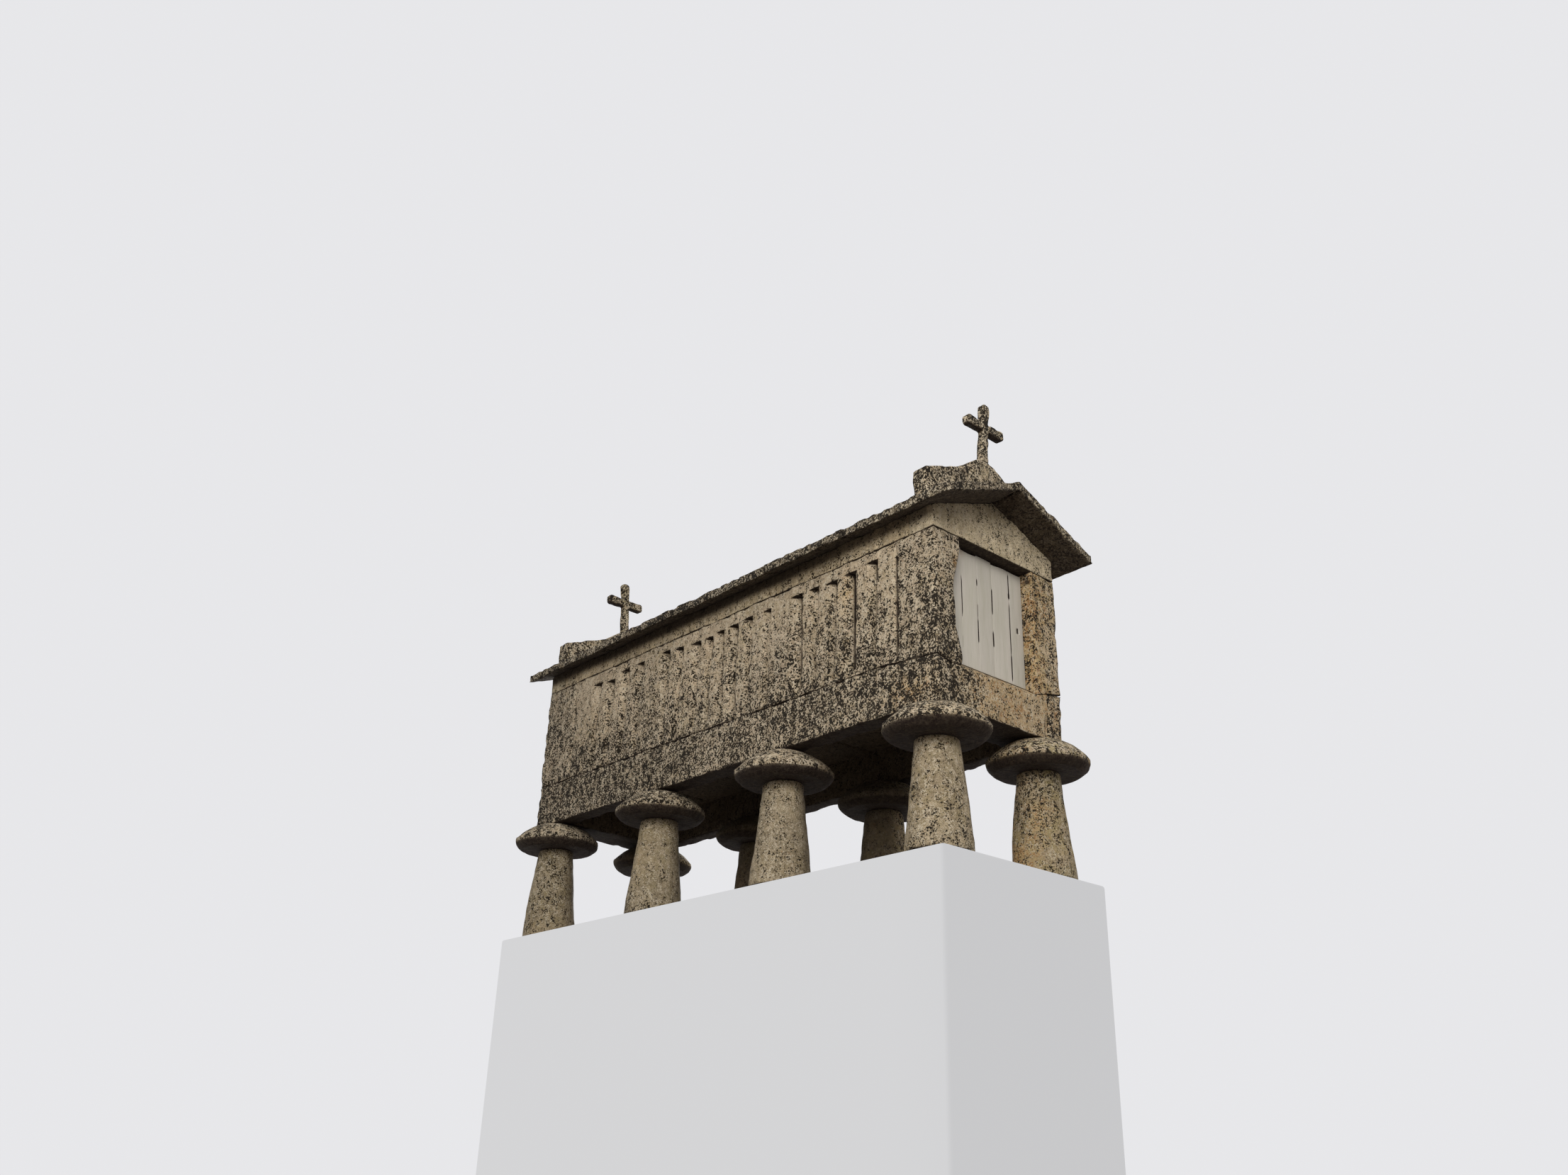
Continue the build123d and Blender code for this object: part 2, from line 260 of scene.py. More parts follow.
def lying_stones(turns, stretches, heart=None, radius=arris_radius, spacing=grid_step):
    """Stones that share an outline in Y and Z, one for each stretch of X."""
    outline, ways = rounded_outline(turns, spacing, radius)
    return [
        stone(*carry(outline, ways, stations(*stretch, radius, spacing), radius, spacing, heart), lying)
        for stretch in stretches
    ]


def standing_block(low, high):
    """An upright stone that fills a box."""
    outline, ways = rounded_outline(rectangle(low, high), grid_step, arris_radius)
    places = stations(low[2], high[2], arris_radius, grid_step)
    return stone(*carry(outline, ways, places, arris_radius, grid_step))


def normals_of(points, quads, triangles):
    """Outward directions at the points: the sum of the areas of the faces round each."""
    total = np.zeros(points.shape)
    for faces in (quads, triangles):
        diagonal = points[faces[:, 2]] - points[faces[:, 0]]
        area = np.cross(diagonal, points[faces[:, -1]] - points[faces[:, 1]])
        for column in faces.T:
            np.add.at(total, column, area)
    return total / np.maximum(np.linalg.norm(total, axis=1), 1e-12)[:, None]


def beside_door(points):
    """0 on the faces that the door swings past, rising to 1 a hand's breadth away."""
    low = np.array([front_face - 0.26, -jamb, sill_top])
    high = np.array([front_face + 0.01, jamb, wall_top])
    away = np.maximum(np.maximum(low - points, points - high), 0)
    return smooth_step(np.linalg.norm(away, axis=1), 0.0, 0.10)


def settled(points):
    """Lowers the front end of the sills and what stands on them.

    The threshold slopes down and out in front of the door, and the left front corner has sunk; the
    shift dies away upwards, downwards and towards the right corner.
    """
    x, y, z = points.T
    reach = 0.105 + 0.445 * smooth_step(-y, jamb - 0.01, jamb + 0.07)
    forward = smooth_step(x, front_face - reach, front_face - 0.01)
    share = (1 - smooth_step(y, 0.33, half_width)) * (1 - 0.4 * smooth_step(-y, 0.45, half_width))
    near = 1 - smooth_step(abs(z - sill_top), 0, 0.24)
    return points - (threshold_fall * forward * share * near)[:, None] * (0, 0, 1)


def waves(points, layers):
    """Smooth random shifts added up, with (cell, seed, height) for each layer."""
    return sum(lattice_noise(points, cell, seed) * height for cell, seed, height in layers)


def weather(piece, seed, roughness, chipping):
    """Hews and chips a stone in place.

    One field of smooth random shifts moves all stones together, so their joints stay closed. A
    smaller one of the stone's own makes the joints uneven, and along arrises a third field, where
    it is high, takes the surface back.
    """
    points = settled(piece["points"])
    normals = normals_of(points, piece["quads"], piece["triangles"])
    shared = waves(points, shared_waves)
    own = waves(points, [(0.17, seed, 0.0018), (0.045, seed + 1, 0.0012)])
    chips = np.clip(lattice_noise(points, chip_size, seed + 2)[:, 0] + 0.15, 0, 1) * chip_depth * chipping
    calm = beside_door(points)
    moved = points + (shared + own) * (roughness * calm)[:, None]
    moved -= normals * (chips * piece["arris"] * calm)[:, None]
    piece["points"] = np.column_stack([moved[:, :2], np.maximum(moved[:, 2], 0)])
    piece["rest"], piece["facing"] = points, normals


def patches(points, cell, seed):
    """One smooth random number between about 0 and 1 at each point, with finer variation on it."""
    coarse = lattice_noise(points, cell, seed)[:, 0]
    fine = lattice_noise(points, cell * 0.37, seed + 1)[:, 0]
    return np.clip(0.5 + 0.55 * coarse + 0.3 * fine, 0, 1)


def blot(points, middle, reach, power=2):
    """1 in the middle, fading as exp(-d^power), where d is the way from it measured in reaches."""
    away = np.linalg.norm((points - middle) / reach, axis=1)
    return np.exp(-(away**power))


def front_rust(points):
    """Iron stain: on the reveal and face of the right front post, and along the front sill."""
    x, y, z = points.T
    on_front = smooth_step(x, front_face - 0.30, front_face - 0.08)
    arris = np.exp(-(((y - jamb) / 0.085) ** 2)) * (y > 0)
    post = (0.45 * (y > jamb - 0.02) + 0.55 * arris) * (z > sill_top) * (z < wall_top)
    sill = smooth_step(y, -0.60, -0.20) * (z > sill_bottom + 0.01) * (z <= sill_top)
    return on_front * (0.75 * post + 0.45 * sill) + hinge_mark(points)


def hinge_mark(points):
    """The rusty oval that an old iron hinge left high on the left front post, by the door."""
    return blot(points, (front_face, -jamb - 0.052, 2.035), (0.05, 0.024, 0.046), 3)


def slab_rust(points):
    """A rust patch under the wall plate on the left side, and one at the foot of the left front post."""
    head = blot(points, (1.50, -half_width, 2.04), (0.085, 0.06, 0.11))
    foot = blot(points, (2.10, -half_width, 1.10), (0.20, 0.06, 0.10))
    return 0.60 * head + 0.85 * foot


def slot_and_room_shade(points):
    """Painted shade: 1 deep in the walls' slots, less in the room and under its floor, where no lichen grows
    either.
    """
    x, y, z = points.T
    depth = half_width - abs(y)
    in_room = 1 - 0.45 * smooth_step(depth, slab_depth - 0.010, slab_depth)
    across = smooth_step(depth, 0.056, 0.066) * np.where(z > sill_top - 0.03, in_room, 0.76)
    along = smooth_step(front_face - x, 0.11, 0.16) * smooth_step(x - back_face, 0.056, 0.066)
    below_roof = z < roof_ridge - roof_slope * abs(y) + 0.010
    return across * along * (z > sill_bottom + 0.002) * below_roof


def eaves_shadow_notch_and_hinge(points):
    """Painted shadow of the eaves on the wall plates, painted shade for a notch at the right front post's
    head, and the hinge's rust mark.
    """
    x, y, z = points.T
    # Painted shadow of the eaves on the plates' upper part, weaker towards the front
    eaves = smooth_step(z, wall_top + 0.045, wall_top + 0.115) * (z < wall_top + 0.20)
    eaves *= (abs(abs(y) - half_width) < 0.02) * (x < front_face - 0.05)
    eaves *= 0.90 - 0.45 * smooth_step(x, 0.6, 2.0)
    # Painted shade standing for a small notch that the stone doesn't have
    notch = blot(points, (front_face - 0.040, jamb, wall_top - 0.075), (0.045, 0.03, 0.018), 4)
    return np.maximum(eaves, np.maximum(notch, 0.35 * hinge_mark(points)))


def growths(points, crust, fall, rust, moss):
    """How thick the black crust, the rust and the moss lie at each point.

    Crust thickens by fall from the wall's head to its foot, and towards the foot of the back half and
    the left end of the front sill. Each of the three follows its own patches.
    """
    x, y, z = points.T
    height = np.clip((z - sill_top) / (wall_top - sill_top), 0, 1)
    thick = crust + fall * (0.5 - height) + 0.34 * (patches(points, 0.30, 41) - 0.5)
    corner = smooth_step(-y, 0.15, 0.50) * (x > front_face - 0.03) * (z <= sill_top)
    thick += (0.20 * (1 - height) * smooth_step(-x, 0.6, 2.2) + 0.42 * corner) * (z > sill_bottom)
    stain = rust * patches(points, 0.42, 51) ** 2 + front_rust(points) + slab_rust(points)
    green = moss * patches(points, 0.36, 61)
    return np.clip(thick, 0, most_crust), np.clip(stain, 0, 1), np.clip(green, 0, 1)


def new_object(name, data):
    """An object in the scene."""
    thing = bpy.data.objects.new(name, data)
    bpy.context.scene.collection.objects.link(thing)
    return thing


def mesh_object(name, stones, values):
    """Joins stones into one object, with a named value at each vertex."""
    points = joined(stones, "points")
    starts = np.cumsum([0] + [len(block["points"]) for block in stones])
    quads, triangles = (
        np.concatenate([block[faces] + start for block, start in zip(stones, starts)])
        for faces in ("quads", "triangles")
    )
    mesh = bpy.data.meshes.new(name)
    mesh.vertices.add(len(points))
    mesh.vertices.foreach_set("co", points.astype(np.float32).ravel())
    loops = np.concatenate([quads.ravel(), triangles.ravel()])
    mesh.loops.add(len(loops))
    mesh.loops.foreach_set("vertex_index", loops.astype(np.int32))
    mesh.polygons.add(len(quads) + len(triangles))
    first = np.concatenate([4 * np.arange(len(quads)), 4 * len(quads) + 3 * np.arange(len(triangles))])
    mesh.polygons.foreach_set("loop_start", first.astype(np.int32))
    mesh.update(calc_edges=True)
    mesh.validate()
    mesh.shade_smooth()
    for label, numbers in values.items():
        layer = mesh.attributes.new(label, "FLOAT", "POINT")
        layer.data.foreach_set("value", numbers.astype(np.float32))
    return new_object(name, mesh)


def masonry(
    name, stones, material, nodes, crust, rust, moss,
    fall=0.0, roughness=1.0, chipping=1.0, wet=1.0, shade=0.0,
):
    """Weathers stones and makes them one piece that stands for the given nodes.

    Painted shade darkens the undersides by the underside share, and the sides turned to the granary's middle
    line by shade; the slots, the room, the eaves' shadow and the gaps take it as well.
    """
    seed = 100 + sum(map(ord, name))
    for number, block in enumerate(stones):
        weather(block, seed + 7 * number, roughness, chipping)
    tone = np.random.default_rng(seed).uniform(-1, 1, len(stones))
    rest, facing = joined(stones, "rest"), joined(stones, "facing")
    thick, stain, green = growths(rest, crust, fall, rust, moss)
    # Painted shade on faces turned downwards
    under = wet * smooth_step(-facing[:, 2], 0.10, 0.60)
    # Painted shade on the sides turned to the middle line
    inner_side_shade = shade * smooth_step(-facing[:, 1] * np.sign(rest[:, 1]), -0.3, 0.6)
    # Painted shade in slots, the room and gaps, the eaves' shadow and a notch, and the hinge's rust
    inside = np.maximum.reduce([slot_and_room_shade(rest), eaves_shadow_notch_and_hinge(rest), inner_side_shade, joined(stones, "dark")])
    values = {
        "arris": joined(stones, "arris"),
        "tone": np.repeat(tone, [len(block["points"]) for block in stones]),
        "crust": thick * (1 - np.maximum(0.6 * under, inside)),
        "painted_shade": np.maximum(under, inside),
        "stain": stain,
        "moss": green,
    }
    piece = mesh_object(name, stones, values)
    piece.data.materials.append(material)
    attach(piece, "masonry")
    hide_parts(*nodes)


def hewn(node, stones, material, **growth):
    """Masonry that stands for one node."""
    masonry(f"hewn_{node}", stones, material, [node], **growth)


def feed(tree, node, inputs):
    """Sets a node's inputs to values, or links sockets to them."""
    for label, value in inputs.items():
        if isinstance(value, bpy.types.NodeSocket):
            tree.links.new(value, node.inputs[label])
        else:
            node.inputs[label].default_value = value


def add_node(tree, kind, inputs=None, **settings):
    """A shader node with its settings, and its inputs given as values or as sockets to link."""
    node = tree.nodes.new(kind)
    for label, value in settings.items():
        setattr(node, label, value)
    feed(tree, node, inputs or {})
    return node


def maths(tree, operation, first, second, third=0.0):
    """The result of one Math node."""
    inputs = {0: first, 1: second, 2: third}
    return add_node(tree, "ShaderNodeMath", inputs, operation=operation).outputs[0]


def times(tree, first, second):
    """Two values multiplied."""
    return maths(tree, "MULTIPLY", first, second)


def mixed(tree, factor, first, second, blend="MIX"):
    """One colour laid over another."""
    first, second = (c if isinstance(c, bpy.types.NodeSocket) else (*c, 1) for c in (first, second))
    inputs = {0: factor, 6: first, 7: second}
    return add_node(tree, "ShaderNodeMix", inputs, data_type="RGBA", blend_type=blend).outputs[2]


def noise(tree, vector, scale, detail=3.0, roughness=0.6, distortion=0.0):
    """The value of a noise texture."""
    inputs = {
        "Vector": vector, "Scale": scale, "Detail": detail,
        "Roughness": roughness, "Distortion": distortion,
    }
    return add_node(tree, "ShaderNodeTexNoise", inputs).outputs[0]


def moved(tree, vector, shift, stretch=(1.0, 1.0, 1.0)):
    """A pattern's coordinates, shifted and stretched."""
    inputs = {"Vector": vector, "Location": shift, "Scale": stretch}
    return add_node(tree, "ShaderNodeMapping", inputs).outputs[0]


def ranged(tree, value, low, high, to_low=0.0, to_high=1.0, smooth=False):
    """A value carried from one range to another, and held at its ends."""
    kind = "SMOOTHSTEP" if smooth else "LINEAR"
    inputs = {"Value": value, "From Min": low, "From Max": high, "To Min": to_low, "To Max": to_high}
    return add_node(tree, "ShaderNodeMapRange", inputs, interpolation_type=kind).outputs[0]


def clouds(tree, place, shift, scale, low, high, detail=4.0, least=0.0):
    """Soft patches with a pattern of their own: least where noise is below low, 1 where it is above high."""
    return ranged(tree, noise(tree, moved(tree, place, shift), scale, detail, 0.7), low, high, least)


def new_group(name, floats, outputs):
    """A node group of a Vector and named floats: the group, its input sockets and its output node."""
    group = bpy.data.node_groups.new(name, "ShaderNodeTree")
    group.interface.new_socket("Vector", in_out="INPUT", socket_type="NodeSocketVector")
    for label, value in floats.items():
        socket = group.interface.new_socket(label, in_out="INPUT", socket_type="NodeSocketFloat")
        socket.default_value = value
    for label in outputs:
        group.interface.new_socket(label, in_out="OUTPUT", socket_type="NodeSocketFloat")
    source = group.nodes.new("NodeGroupInput")
    return group, source.outputs, group.nodes.new("NodeGroupOutput")


def vector_maths(tree, operation, inputs, output="Vector"):
    """The result of one Vector Math node."""
    return add_node(tree, "ShaderNodeVectorMath", inputs, operation=operation).outputs[output]


def random_cells(tree, vector, scale):
    """Cells that each have three random values of their own."""
    cells = add_node(tree, "ShaderNodeTexVoronoi", {"Vector": vector, "Scale": scale})
    return add_node(tree, "ShaderNodeSeparateColor", {"Color": cells.outputs["Color"]}).outputs


def spot_group():
    """Lichen spots: cells of random value, gathered by noise into clumps and cut by the density.

    The halo is the same cut a little lower, for the brown that rims each spot.
    """
    floats = {"Scale": 100.0, "Density": 0.5, "Softness": 0.12}
    group, given, result = new_group("Spots", floats, ["Mask", "Halo"])
    place, scale, softness = given["Vector"], given["Scale"], given["Softness"]
    inputs = {"Vector": place, "Scale": times(group, scale, 1.6), "Detail": 1.0}
    ragged = add_node(group, "ShaderNodeTexNoise", inputs).outputs["Color"]
    centred = vector_maths(group, "SUBTRACT", {0: ragged, 1: (0.5, 0.5, 0.5)})
    wobble = vector_maths(group, "SCALE", {0: centred, "Scale": 0.006})
    grains = random_cells(group, vector_maths(group, "ADD", {0: place, 1: wobble}), scale)[0]
    fine = noise(group, place, times(group, scale, 0.8), 2.0, 0.55)
    drawn = moved(group, place, (4.1, 2.3, 0.9), (1.0, 1.0, 0.6))
    clump = noise(group, drawn, times(group, scale, 0.20))
    value = maths(group, "MULTIPLY_ADD", maths(group, "SUBTRACT", clump, 0.5), 2.2, grains)
    value = maths(group, "MULTIPLY_ADD", maths(group, "SUBTRACT", fine, 0.5), 1.5, value)
    cut = maths(group, "SUBTRACT", 1.1, given["Density"])
    low, high = maths(group, "SUBTRACT", cut, softness), maths(group, "ADD", cut, softness)
    mask = ranged(group, value, low, high, smooth=True)
    halo = ranged(group, value, maths(group, "SUBTRACT", low, 0.30), cut, smooth=True)
    feed(group, result, {"Mask": mask, "Halo": halo})
    return group


def grain_group():
    """Granite crystals: cells of random brightness, and a few dark flecks of mica."""
    group, given, result = new_group("Grain", {"Scale": 240.0}, ["Brightness", "Height"])
    place, scale = given["Vector"], given["Scale"]
    cells = random_cells(group, place, scale)
    fleck = ranged(group, cells[1], 0.86, 0.90, 1.0, 0.45)
    cloud = noise(group, place, times(group, scale, 0.35))
    crystal = ranged(group, cells[0], 0.0, 1.0, 0.82, 1.14)
    bright = times(group, times(group, crystal, fleck), ranged(group, cloud, 0.3, 0.7, 0.86, 1.12))
    height = maths(group, "MULTIPLY_ADD", cells[0], 0.25, cloud)
    feed(group, result, {"Brightness": bright, "Height": height})
    return group


def streak_group():
    """Run-off streaks: noise drawn out along Z."""
    group, given, result = new_group("Streaks", {"Scale": 14.0}, ["Value"])
    drawn = moved(group, given["Vector"], (0.0, 0.0, 0.0), (1.0, 1.0, 0.09))
    feed(group, result, {"Value": noise(group, drawn, given["Scale"], distortion=0.2)})
    return group


spots = spot_group()
grain = grain_group()
streaks = streak_group()


def new_material(name):
    """A material with its node tree, its shader and the object's coordinates."""
    material = bpy.data.materials.new(name)
    material.use_nodes = True
    tree = material.node_tree
    shader = tree.nodes["Principled BSDF"]
    place = tree.nodes.new("ShaderNodeTexCoord").outputs["Object"]
    return material, tree, shader, place


def use_group(tree, group, **inputs):
    """The outputs of a group placed in a material with its own values."""
    return add_node(tree, "ShaderNodeGroup", inputs, node_tree=group).outputs


def spotted(tree, place, shift, scale, density, softness=0.14):
    """Lichen spots with a pattern of their own."""
    shifted = moved(tree, place, shift)
    return use_group(tree, spots, Vector=shifted, Scale=scale, Density=density, Softness=softness)


def bumped(tree, height, strength, distance):
    """Normals roughened by a height."""
    inputs = {"Height": height, "Strength": strength, "Distance": distance}
    return add_node(tree, "ShaderNodeBump", inputs).outputs[0]


def vertex_value(tree, label):
    """A named value of the mesh's vertices."""
    return add_node(tree, "ShaderNodeAttribute", attribute_name=label).outputs["Fac"]


# Colours, as linear light
black_crust = (0.010, 0.0075, 0.005)
brown_crust = (0.11, 0.078, 0.045)
pale_lichen = (0.47, 0.41, 0.31)
olive_moss = (0.235, 0.19, 0.085)
ochre = (0.40, 0.275, 0.125)
rust_brown = (0.24, 0.12, 0.045)
# Near-black of the painted shade: undersides, slots, the room, gaps and the eaves' shadow
painted_shade_black = (0.019, 0.012, 0.009)


def granite(name, pale, deep, spot_scale=100.0, lichen=0.28, streak=0.5):
    """Weathered granite: mottled crystals under streaks, moss, rust, pale lichen and black crust, then
    painted shade.
    """
    material, tree, shader, place = new_material(name)
    labels = ("tone", "arris", "moss", "stain", "crust", "painted_shade")
    tone, arris, moss, stain, crust, painted_shade = (vertex_value(tree, label) for label in labels)
    broad = clouds(tree, place, (0.0, 0.0, 0.0), 4.0, 0.36, 0.64)
    close = clouds(tree, place, (2.2, 8.1, 3.4), 33.0, 0.36, 0.64)
    mottle = maths(tree, "MULTIPLY_ADD", broad, 0.35, times(tree, close, 0.65))
    crystals = use_group(tree, grain, Vector=place)
    runs = use_group(tree, streaks, Vector=place)["Value"]
    run_shade = ranged(tree, runs, 0.3, 0.7, 1 - 0.35 * streak, 1 + 0.12 * streak)
    shade = times(tree, crystals["Brightness"], run_shade)
    shade = times(tree, shade, maths(tree, "MULTIPLY_ADD", tone, 0.10, 1.0))
    colour = mixed(tree, 1.0, mixed(tree, mottle, deep, pale), shade, "MULTIPLY")

    green = times(tree, clouds(tree, place, (3.1, 1.7, 5.2), 16.0, 0.42, 0.62, 5.0), moss)
    rust_cloud = clouds(tree, place, (5.3, 0.7, 2.4), 40.0, 0.36, 0.60, least=0.25)
    rust_density = maths(tree, "SUBTRACT", stain, 0.35)
    rusty = spotted(tree, place, (7.3, 2.9, 1.4), spot_scale * 0.8, rust_density, 0.20)["Mask"]
    free = maths(tree, "MULTIPLY_ADD", maths(tree, "MAXIMUM", painted_shade, stain), -0.25, lichen)
    white_density = maths(tree, "MULTIPLY_ADD", crust, 0.40, free)
    white = spotted(tree, place, (1.3, 6.1, 2.2), spot_scale * 1.1, white_density)["Mask"]
    black_density = maths(tree, "MULTIPLY_ADD", arris, 0.06, crust)
    growth = spotted(tree, place, (0.0, 0.0, 0.0), spot_scale, black_density)
    black = growth["Mask"]
    layers = [
        (times(tree, green, 0.8), olive_moss),
        (times(tree, stain, rust_cloud), ochre),
        (times(tree, rusty, 0.8), rust_brown),
        (times(tree, white, 0.65), pale_lichen),
        (times(tree, growth["Halo"], 0.40), brown_crust),
        (times(tree, black, 0.98), black_crust),
        # Painted shade, laid over everything by the vertices' shade value
        (times(tree, painted_shade, ranged(tree, close, 0.0, 1.0, 1.0, 0.90)), painted_shade_black),
    ]
    for share, layer in layers:
        colour = mixed(tree, share, colour, layer)

    height = maths(tree, "MULTIPLY_ADD", crystals["Height"], 0.25, noise(tree, place, 62.0, 4.0, 0.7))
    height = maths(tree, "MULTIPLY_ADD", black, 0.30, height)
    height = maths(tree, "MULTIPLY_ADD", white, 0.22, height)
    feed(tree, shader, {
        "Base Color": colour,
        "Roughness": ranged(tree, black, 0.0, 1.0, 0.86, 0.95),
        "Specular IOR Level": 0.15,
        "Normal": bumped(tree, height, 0.7, 0.004),
    })
    return material


wall_granite = granite("wall_granite", (0.54, 0.44, 0.315), (0.26, 0.20, 0.13))
sill_granite = granite("sill_granite", (0.48, 0.39, 0.275), (0.22, 0.17, 0.11), lichen=0.32)
pillar_granite = granite("pillar_granite", (0.37, 0.30, 0.205), (0.155, 0.12, 0.072), 120.0, lichen=0.22)
plate_granite = granite("plate_granite", (0.58, 0.47, 0.31), (0.34, 0.265, 0.165), lichen=0.12, streak=1.0)
gable_granite = granite("gable_granite", (0.66, 0.55, 0.385), (0.38, 0.31, 0.20), 110.0, 0.20, 0.7)
roof_granite = granite("roof_granite", (0.25, 0.205, 0.145), (0.105, 0.08, 0.054), lichen=0.34)


def weathered_boards():
    """Old unpainted boards: silver grey, with long grain, hair cracks and a tone for each board."""
    material, tree, shader, place = new_material("weathered_boards")
    fibre = noise(tree, moved(tree, place, (0.4, 0.9, 0.0), (1.0, 1.0, 0.035)), 150.0, 4.0, 0.65, 0.3)
    broad = noise(tree, moved(tree, place, (2.0, 1.0, 0.0), (1.0, 1.0, 0.12)), 16.0)
    colour = mixed(tree, ranged(tree, broad, 0.32, 0.68), (0.385, 0.36, 0.30), (0.44, 0.405, 0.355))
    dark_fibre = ranged(tree, fibre, 0.30, 0.46, 0.84, smooth=True)
    tone = maths(tree, "MULTIPLY_ADD", vertex_value(tree, "tone"), 0.06, 1.0)
    colour = mixed(tree, 1.0, colour, times(tree, dark_fibre, tone), "MULTIPLY")
    colour = mixed(tree, vertex_value(tree, "stain"), colour, rust_brown)
    # Painted shade at the open gaps between boards
    colour = mixed(tree, vertex_value(tree, "painted_shade"), colour, painted_shade_black)
    feed(tree, shader, {
        "Base Color": colour,
        "Roughness": 0.82,
        "Specular IOR Level": 0.3,
        "Normal": bumped(tree, fibre, 0.6, 0.002),
    })
    return material


def keyhole_shade_material():
    """Near-black wood on the keyhole's cut sides: painted shade inside the hole."""
    material, tree, shader, place = new_material("keyhole_shade_wood")
    cloud = ranged(tree, noise(tree, place, 180.0), 0.35, 0.65)
    colour = mixed(tree, cloud, (0.022, 0.017, 0.012), (0.045, 0.036, 0.027))
    feed(tree, shader, {"Base Color": colour, "Roughness": 0.9})
    return material


board_wood = weathered_boards()
keyhole_shade_wood = keyhole_shade_material()


def filled_profile(radius, height):
    """A profile of radii and heights, stepped evenly between its turns."""
    radius, height = np.asarray(radius, float), np.asarray(height, float)
    run = np.concatenate([[0], np.cumsum(np.hypot(np.diff(radius), np.diff(height)))])
    even = np.linspace(0, run[-1], round(run[-1] / grid_step) + 1)
    steps = np.unique(np.concatenate([even, run]))
    return np.interp(steps, run, radius), np.interp(steps, run, height)


def pillar_profile(low, high):
    """From the middle of the foot out, up the tapering side, and in over the top."""
    foot, bevel = (high[0] - low[0]) / 2, 0.012
    radius = [hub, foot - bevel, foot, pillar_top, pillar_top - bevel, hub]
    height = [low[2], low[2], low[2] + 0.02, high[2] - 0.01, high[2], high[2]]
    radius, height = filled_profile(radius, height)
    return radius, height, np.minimum(abs(height - low[2]) + (foot - radius) * (height < low[2] + 0.01), 1)


def capital_profile(low, high):
    """From the middle of the flat underside out round the lip, over the rim and up the dome."""
    rim = (high[0] - low[0]) / 2
    rim_top = high[2] - capital_dome
    rim_foot = rim_top - capital_rim
    share = np.linspace(1, 0, 7)
    lip = rim - (rim - capital_foot) * share**2
    lip_height = rim_foot - (rim_foot - low[2]) * share
    dome = capital_seat + (rim - capital_seat) * share
    dome_height = high[2] - capital_dome * share**1.5
    radius, height = filled_profile([hub, *lip, *dome, hub], [low[2], *lip_height, *dome_height, high[2]])
    return radius, height, np.hypot(radius - rim, height - (rim_top + rim_foot) / 2)


def dress_supports():
    """Pillars and capitals: turned outlines with uneven, chipped skins."""
    around = 72
    angle = np.linspace(0, 2 * np.pi, around, endpoint=False)
    kinds = {
        "pillar": (pillar_profile, pillar_granite, {"left": 0.19, "right": 0.27}, 1.3, 0.7),
        "capital": (capital_profile, sill_granite, {"left": 0.52, "right": 0.46}, 1.4, 1.1),
    }
    places = [(side, pair, kind) for side in sides for pair in range(1, pillar_pairs + 1) for kind in kinds]
    for side, pair, kind in places:
        profile, material, crusts, roughness, chipping = kinds[kind]
        moss = 2.2 if side == "right" else 0.5
        rust = 0.2 if side == "left" else 1.3 if pair == 1 else 0.7
        # Painted shade on the inner sides of all but the front pair
        shade = 0.0 if pair == 1 else 0.8 if side == "right" else 0.4
        node = f"{kind}_{side}_{pair}"
        low, high = corners(node)
        middle = (low + high) / 2
        radius, height, way = profile(low, high)
        rows = np.stack([
            middle[0] + np.outer(radius, np.cos(angle)),
            middle[1] + np.outer(radius, np.sin(angle)),
            np.repeat(height[:, None], around, axis=1),
        ], axis=2)
        turned = stone(rows, np.repeat(way, around), middle[:2])
        growth = {"roughness": roughness, "chipping": chipping, "shade": shade}
        hewn(node, [turned], material, crust=crusts[side], rust=rust, moss=moss, **growth)


def dress_sills():
    """Long sills, end sills and the floor slabs between them."""
    for side, sign in sides.items():
        turns = rectangle((sign * sill_inner, sill_bottom), (sign * half_width, sill_top))
        stones = lying_stones(turns, spans(front_face, back_face, sill_stone_shares))
        hewn(f"sill_{side}", stones, sill_granite, crust=0.64, rust=0.1, moss=0.3)
    for end in ("front", "back"):
        low, high = corners(f"sill_{end}")
        stones = lying_stones(rectangle(low[1:], high[1:]), [(low[0], high[0])])
        hewn(f"sill_{end}", stones, sill_granite, crust=0.24, rust=0.2, moss=0.25)
    low, high = corners("floor_slabs")
    reach = sill_inner - dry_joint
    turns = rectangle((-reach, low[2]), (reach, high[2]))
    stones = lying_stones(turns, spans(high[0], low[0], [1] * floor_slab_count), spacing=0.035)
    # The floor slabs' undersides take a little less painted shade
    hewn("floor_slabs", stones, sill_granite, crust=0.3, rust=0.2, moss=0.2, wet=0.75)


def wear_jamb(points):
    """Bevels the inner front arris of the left front post, where the stone is worn from sill to lintel."""
    depth, width = 0.090, 0.076
    back, left = front_face - points[:, 0], -jamb - points[:, 1]
    worn = smooth_step(points[:, 2], sill_top + 0.02, sill_top + 0.30)
    worn *= 1 - smooth_step(points[:, 2], wall_top - 0.42, wall_top - 0.05)
    worn *= 0.95 + 0.12 * lattice_noise(points, 0.09, 21)[:, 0]
    push = np.clip(worn - back / depth - left / width, 0, 1) / 2
    return points - push[:, None] * (depth, width, 0)


def dress_posts():
    """The corner posts."""
    crusts = {"front_left": 0.56, "front_right": 0.39, "back_left": 0.40, "back_right": 0.42}
    for corner, crust in crusts.items():
        node = f"post_{corner}"
        block = standing_block(*corners(node))
        if corner == "front_left":
            block["points"] = wear_jamb(block["points"])
        rust, moss = (0.4, 2.3) if "right" in corner else (0.1, 0.35)
        hewn(node, [block], wall_granite, crust=crust, fall=0.16, rust=rust, moss=moss)


